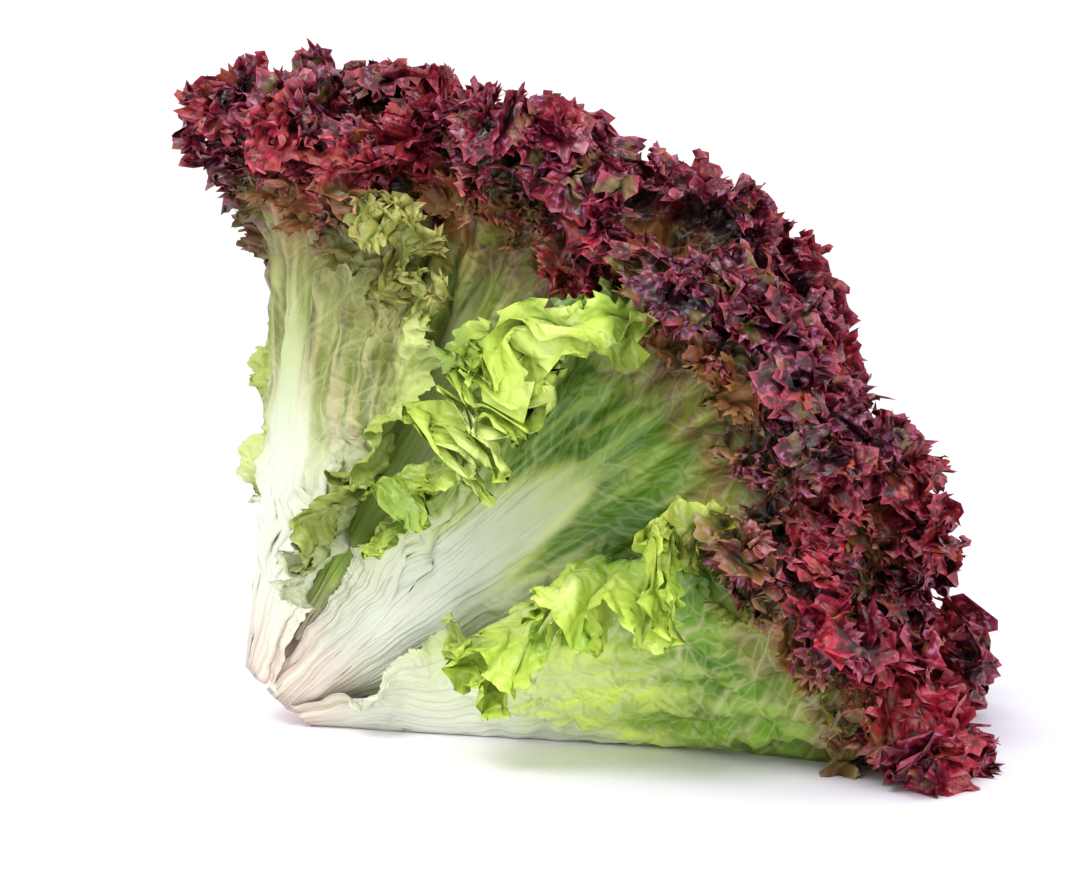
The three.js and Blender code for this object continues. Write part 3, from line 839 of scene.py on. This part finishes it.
class Nodes:
    """A short way to write a node tree."""

    def __init__(self, name):
        self.material = bpy.data.materials.new(name)
        self.material.use_nodes = True
        self.tree = self.material.node_tree
        self.bsdf = self.tree.nodes["Principled BSDF"]

    def add(self, kind, inputs=None, **settings):
        node = self.tree.nodes.new(kind)
        for key, value in settings.items():
            setattr(node, key, value)
        for key, value in (inputs or {}).items():
            self.set(node.inputs[key], value)
        return node

    def set(self, socket, value):
        if isinstance(value, bpy.types.NodeSocket):
            self.tree.links.new(value, socket)
        else:
            socket.default_value = value

    def math(self, operation, a, b=0.0, c=0.0, clamp=False):
        node = self.add("ShaderNodeMath", {0: a, 1: b, 2: c}, operation=operation, use_clamp=clamp)
        return node.outputs[0]

    def times(self, first, *others):
        for other in others:
            first = self.math("MULTIPLY", first, other)
        return first

    def plus(self, first, *others):
        for other in others:
            first = self.math("ADD", first, other)
        return first

    def about(self, value, size, middle=0.5):
        """A noise turned into a stray of this size about nothing."""
        return self.times(self.math("SUBTRACT", value, middle), size)

    def mix(self, factor, a, b):
        inputs = {0: factor, 6: a, 7: b}
        return self.add("ShaderNodeMix", inputs, data_type="RGBA", clamp_factor=True).outputs[2]

    def vector(self, x, y, z=0.0):
        return self.add("ShaderNodeCombineXYZ", {0: x, 1: y, 2: z}).outputs[0]

    def shifted(self, vector, by):
        return self.add("ShaderNodeVectorMath", {0: vector, 1: by}, operation="ADD").outputs[0]

    def noise(self, vector, scale, detail=1.0, output="Fac"):
        inputs = {"Vector": vector, "Scale": scale, "Detail": detail, "Roughness": 0.5}
        return self.add("ShaderNodeTexNoise", inputs).outputs[output]

    def cells(self, vector, scale, dimensions):
        """The distance to the edge of a cell, in 2D or 3D."""
        inputs = {"Vector": vector, "Scale": scale}
        settings = {"feature": "DISTANCE_TO_EDGE", "voronoi_dimensions": dimensions}
        return self.add("ShaderNodeTexVoronoi", inputs, **settings).outputs["Distance"]

    def shade(self, name, value):
        self.set(self.bsdf.inputs[name], value)

    def relief(self, height, strength, depth):
        inputs = {"Height": height, "Strength": strength, "Distance": depth}
        self.shade("Normal", self.add("ShaderNodeBump", inputs).outputs[0])

    def step(self, value, low, high, top=1.0, bottom=0.0):
        inputs = {0: value, 1: low, 2: high, 3: bottom, 4: top}
        return self.add("ShaderNodeMapRange", inputs, interpolation_type="SMOOTHSTEP", clamp=True).outputs[0]


class Tissue(Nodes):
    """The material of a leaf, built from the places that its mesh carries and a few shared noises."""

    def __init__(self, leaf):
        super().__init__(f"leaf_{leaf.index + 1:02d}_tissue")
        self.leaf = leaf
        self.upness = 0.5 - 0.5 * np.cos(leaf.azimuth)
        self.dull = self.upness**1.5  # leaves on top of the head are duller
        self.own = {name: mix_rgb(low, top, self.dull) for name, (low, top) in BLADE.items()}
        self.across, self.along, self.round_ = self.read("place")
        self.to_margin, self.height, self.side = self.read("tone")
        self.fan, self.edge, self.lift = self.read("form")

        plane = self.vector(self.across, self.along, 5.0 * leaf.index)
        self.patches = self.noise(plane, 0.05, 1.5)
        self.specks = self.noise(plane, 0.22, 1.5)
        self.shaken = self.noise(plane, 0.12, output="Color")
        self.at = self.add("ShaderNodeTexCoord").outputs["Object"]
        self.fine = self.noise(self.at, 620.0)
        self.clumps = self.noise(self.at, 190.0)
        self.regions = self.noise(self.at, 45.0)

        # Streaks run up from the foot beside the rib and fan out with the blade.
        streak = self.vector(self.times(self.fan, STREAK_RATE), self.times(self.height, STREAK_RATE))
        streak = self.shifted(streak, (37.0 * leaf.index, 11.0 * leaf.index, 0))
        self.broad = self.step(self.noise(streak, 1.0), 0.38, 0.64)
        self.thin = self.step(self.noise(streak, 3.1), 0.4, 0.66)

    def read(self, name):
        vector = self.add("ShaderNodeAttribute", attribute_name=name).outputs["Vector"]
        return self.add("ShaderNodeSeparateXYZ", {0: vector}).outputs

    def young(self):
        """The pale young green above the white foot, with streaks."""
        # Painted light on some leaves: the pale green is made lighter where the blade faces down into shade.
        light = TENDER_PAINTED_LIGHT.get(self.leaf.index, 1)
        tender, streak = srgb(self.own["tender"], light), srgb(YOUNG_STREAK, light)
        return self.mix(self.times(self.thin, 0.6), tender, streak)

    def blade(self):
        """White at the foot and up the rib, pale green, then the leaf's own green, lime at the sides."""
        index = self.leaf.index
        green = srgb(mix_rgb(self.own["green"], self.own["shade"], DEEP_GREENS.get(index, 0)))
        pale = srgb(self.own["pale"])
        up = self.plus(self.height, self.about(self.patches, 0.16, 0.9), self.about(self.broad, -0.1))
        up = self.plus(up, self.step(self.side, 2.6, 0.4, -0.14))
        # Paler on the raised pleats and puckers: partly pale streaks, partly painted highlight on the
        # crests.
        ridge = self.step(self.plus(self.lift, self.about(self.thin, 0.9)), -0.2, 0.8)
        tanned = self.times(self.thin, self.broad, float(0.6 * self.dull))
        color = self.mix(self.broad, green, srgb(self.own["shade"]))
        color = self.mix(self.times(self.thin, 0.3), color, pale)
        color = self.mix(self.times(ridge, RIDGE_PALE_AND_HIGHLIGHT.get(index, 0.65)), color, pale)
        color = self.mix(tanned, color, srgb(BLADE_TAN))
        young = self.mix(tanned, self.young(), srgb(YOUNG_TAN))
        color = self.mix(self.step(up, *TENDER_HEIGHTS.get(index, (0.52, 0.34))), color, young)
        # The foot turns partly to lime: its own pale green and painted green light in a shaded hollow.
        white = mix_rgb(FOOT_WHITE, FOOT_LIME_AND_LIT, FEET_GREEN_AND_LIT.get(index, 0))
        color = self.mix(self.step(up, 0.4, 0.16), color, srgb(white))

        beside = self.step(self.plus(self.to_margin, self.about(self.specks, 12.0)), 17.0, 7.0)
        crisp = self.mix(self.step(self.regions, 0.5, 0.36, 0.6), srgb(self.own["lime"]), green)
        crisp = self.mix(self.step(self.regions, 0.53, 0.66, 0.6), crisp, srgb(CRISP_LIGHT))
        return self.mix(self.times(beside, self.step(self.height, 0.16, 0.4)), color, crisp)

    def top(self):
        """1 round the tip, where the margin is red, and 0 down the sides and on flaps."""
        index = self.leaf.index
        from_tip = self.times(self.math("ABSOLUTE", self.round_), 0.01)
        top = self.step(self.plus(from_tip, self.about(self.patches, 0.16)), 0.47, 0.38)
        spans = [(flap["side"], flap["span"], 1.0) for flap in FLAPS if flap["leaf"] == index]
        if index in BARE_SPANS:
            spans.append((1, BARE_SPANS[index], 0.8))
        for side, (start, end), share in spans:
            at_u = self.plus(self.times(self.round_, 0.01 * side), self.about(self.patches, 0.2))
            begun = self.step(at_u, start - 0.02, start + 0.06)
            inside = self.times(begun, self.step(at_u, end + 0.02, end - 0.06))
            top = self.times(top, self.math("SUBTRACT", 1.0, self.times(inside, share)))
        return top

    def border(self):
        """Where the green ends: olive, rust and brown between pale veins."""
        color = self.mix(self.step(self.specks, 0.42, 0.58), srgb(OLIVE), srgb(BROWN))
        return self.mix(self.step(self.patches, 0.46, 0.6, 0.8), color, srgb(RUST))

    def frill(self, reach):
        """Red, with painted shade that turns it nearly black in its depths and in specks between its curls,
        painted pink highlights on its edges and glints, and some rust and olive.
        """
        light = FRILL_LIGHT.get(self.leaf.index, 1)
        # Painted shade: the frill goes nearly black the further a point lies from its own edge, into its
        # depths.
        shaded_depths = self.step(self.plus(self.edge, self.about(self.clumps, 5.0)), 1.2, 5.5)
        color = self.mix(shaded_depths, srgb(RED, light), srgb(PAINTED_SHADE))
        color = self.mix(self.step(self.regions, 0.5, 0.6, 0.7), color, srgb(ROSY, light))
        # Painted shade: fine dark specks for the shade between tiny curls.
        color = self.mix(self.step(self.fine, 0.5, 0.36, 0.75), color, srgb(PAINTED_SHADE))
        # Painted highlights: pink and mauve glints near the edge.
        glint = self.times(self.step(self.fine, 0.56, 0.68), self.step(self.edge, 6.0, 1.0, 0.75))
        light_color = self.mix(self.step(self.regions, 0.45, 0.55), srgb(HIGHLIGHT_MAUVE), srgb(HIGHLIGHT_PINK))
        color = self.mix(glint, color, light_color)
        # Painted highlight: a pink line along the very edge.
        rim = self.step(self.plus(self.edge, self.about(self.fine, 2.0)), 0.9, 0.0, 0.5)
        color = self.mix(rim, color, srgb(HIGHLIGHT_PINK))

        rusty_color = self.mix(self.step(self.regions, 0.5, 0.42), srgb(FRILL_RUST), srgb(FRILL_OLIVE))
        rusty = self.step(self.clumps, 0.6 - 0.07 * self.upness, 0.68, 0.7)
        color = self.mix(self.times(rusty, self.step(self.edge, 8.0, 2.0)), color, rusty_color)
        warm = self.times(self.step(reach, 8.0, 20.0), self.step(self.clumps, 0.42, 0.56, 0.75))
        return self.mix(warm, color, rusty_color)

    def veins(self):
        """How far a point lies on a vein, some from the rib to the margin, and finer ones in a net."""
        aside = self.math("ABSOLUTE", self.across)
        leaned = self.times(self.math("POWER", aside, VEIN_BOW), VEIN_LEAN)
        at = self.plus(self.math("SUBTRACT", self.along, leaned), self.about(self.patches, VEIN_STRAY))
        lanes = self.math("ABSOLUTE", self.math("SINE", self.times(at, np.pi / VEIN_GAP)))
        width = self.plus(self.step(self.to_margin, -4.0, 70.0, VEIN_WIDTH), 0.02)
        vein = self.math("SUBTRACT", 1.0, self.math("DIVIDE", lanes, width), clamp=True)
        net_at = self.vector(self.times(at, NET_RATES[0]), self.times(aside, NET_RATES[1]))
        net = self.step(self.cells(self.shifted(net_at, self.shaken), 1.0, "2D"), 0.15, 0.0, 0.5)
        lines = self.math("MAXIMUM", vein, net)
        return self.times(lines, self.step(self.to_margin, 5.0, 20.0), self.step(self.height, 0.12, 0.4))

    def seams(self, bubbles):
        """How far a point lies between the bubbles of the loose parts of the leaf."""
        seams = self.times(self.step(bubbles, 0.07, 0.0), self.step(self.height, 0.2, 0.5))
        seams = self.times(seams, self.step(self.to_margin, 6.0, 16.0))
        if self.leaf.index not in SAVOY_LEAVES:
            seams = self.times(seams, self.step(self.to_margin, 44.0, 26.0))
        return seams

    def with_rib(self, color):
        """The rib laid over the blade, and a blush of pink and brown where the leaf was cut."""
        # The rib's foot turns to lime as well: its own pale green and painted green light in a shaded
        # hollow.
        low = mix_rgb(LOW_RIB, FOOT_LIME_AND_LIT, FEET_GREEN_AND_LIT.get(self.leaf.index, 0))
        rib_color = self.mix(self.step(self.height, 0.3, 0.64), srgb(low), srgb(HIGH_RIB))
        rib = self.times(self.step(self.side, 1.5, 0.7), self.step(self.height, 0.7, 0.45))
        rib = self.times(rib, self.math("SUBTRACT", 0.9, self.times(self.thin, 0.2)))
        blush = self.step(self.plus(self.height, self.about(self.broad, 0.08)), 0.13, 0.0, 0.85)
        cut = self.mix(self.thin, srgb(CUT_LIGHT), srgb(CUT_TAN))
        return self.mix(blush, self.mix(rib, color, rib_color), cut)

    def roughen(self, bubbles):
        bumpy = self.times(self.step(self.height, 0.15, 0.4, 0.8), self.step(self.side, 1.0, 3.0))
        relief = self.times(self.fine, 0.4)
        relief = self.math("MULTIPLY_ADD", self.step(bubbles, 0.0, 0.3), bumpy, relief)
        streaks = self.step(self.height, 0.75, 0.3, 0.5)
        self.relief(self.math("MULTIPLY_ADD", self.thin, streaks, relief), 0.6, 0.0007)
        rough = self.step(self.to_margin, 0.0, 34.0, 0.36, 0.24)
        self.shade("Roughness", self.plus(self.times(self.specks, 0.25), rough))


def leaf_material(leaf):
    m = Tissue(leaf)
    top = m.top()
    reach = m.plus(m.to_margin, m.about(m.patches, 26.0), m.about(m.specks, 12.0))
    color = m.mix(m.times(m.step(reach, 42.0, 27.0, 0.85), top), m.blade(), m.border())
    color = m.mix(m.times(m.step(reach, 23.0, 15.0), top), color, m.frill(reach))
    vein_color = m.mix(m.step(m.height, 0.4, 0.8), srgb(LOW_VEIN), srgb(HIGH_VEIN))
    clear = 0.75 if leaf.index in SAVOY_LEAVES else 0.3
    color = m.mix(m.times(m.veins(), clear), color, vein_color)
    bubbles = m.cells(m.at, BUBBLES_PER_METRE, "3D")
    color = m.mix(m.times(m.seams(bubbles), 0.22), color, vein_color)

    m.shade("Base Color", m.with_rib(color))
    m.roughen(bubbles)
    return m.material


def stem_material():
    m = Nodes("stem_flesh")
    at = m.add("ShaderNodeTexCoord").outputs["Object"]
    small = m.noise(at, 900.0, 3.0)
    color = m.mix(m.step(m.noise(at, 90.0, 3.0), 0.35, 0.65), srgb(STEM_LIGHT), srgb(STEM_BLUSH))
    m.shade("Base Color", m.mix(m.step(small, 0.5, 0.7, 0.4), color, srgb(STEM_TAN)))
    m.shade("Roughness", 0.45)
    m.relief(small, 0.4, 0.0004)
    return m.material


# -------- the head
for index in range(LEAF_COUNT):
    build_leaf(index)

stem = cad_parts["stem"]
stem.data.materials.clear()
stem.data.materials.append(stem_material())

# -------- floor, light, camera, in metres
FLOOR_REACH = 6
FLOOR_COLOR = (0.91, 0.89, 0.99, 1)
FLOOR_ROUGHNESS = 0.8
SKY_STRENGTH = 1.12
HEAD_MIDDLE = (0, 0, 0.07)
LIGHTS = [  # where each stands, its width, and its power in watts
    {"name": "key", "at": (-0.3, -0.55, 0.75), "size": 0.35, "power": 4.5},
    {"name": "fill", "at": (0.5, -0.8, 0.2), "size": 0.5, "power": 3.5},
]
LENS, SENSOR_WIDTH = 85, 36  # in millimetres
CAMERA_AZIMUTH = -1.5 * DEG
CAMERA_ELEVATION = 5 * DEG
CAMERA_DISTANCE = 0.565
CAMERA_TARGET = Vector((-0.0125, 0.0, 0.0628))

floor_mesh = bpy.data.meshes.new("floor")
corners = [(x * FLOOR_REACH, y * FLOOR_REACH, 0) for x, y in ((-1, -1), (1, -1), (1, 1), (-1, 1))]
floor_mesh.from_pydata(corners, [], [(0, 1, 2, 3)])
floor = new_object("floor", floor_mesh)
paper = Nodes("floor_paper")
paper.shade("Base Color", FLOOR_COLOR)
paper.shade("Roughness", FLOOR_ROUGHNESS)
floor_mesh.materials.append(paper.material)

world = bpy.data.worlds.new("studio")
world.use_nodes = True
sky = world.node_tree.nodes["Background"]
sky.inputs["Color"].default_value = (1, 1, 1, 1)
sky.inputs["Strength"].default_value = SKY_STRENGTH
bpy.context.scene.world = world

for lamp in LIGHTS:
    light = bpy.data.lights.new(lamp["name"], "AREA")
    light.energy = lamp["power"]
    light.size = lamp["size"]
    light_object = new_object(lamp["name"], light)
    light_object.location = lamp["at"]
    aim = Vector(HEAD_MIDDLE) - Vector(lamp["at"])
    light_object.rotation_euler = aim.to_track_quat("-Z", "Y").to_euler()

camera = bpy.data.cameras.new("camera")
camera.lens = LENS
camera.sensor_width = SENSOR_WIDTH
camera_object = new_object("camera", camera)
bpy.context.scene.camera = camera_object
level = np.cos(CAMERA_ELEVATION)
away = Vector((-np.sin(CAMERA_AZIMUTH) * level, -np.cos(CAMERA_AZIMUTH) * level, np.sin(CAMERA_ELEVATION)))
camera_object.location = CAMERA_TARGET + away * CAMERA_DISTANCE
camera_object.rotation_euler = (-away).to_track_quat("-Z", "Y").to_euler()

bpy.context.scene.view_settings.view_transform = "Standard"
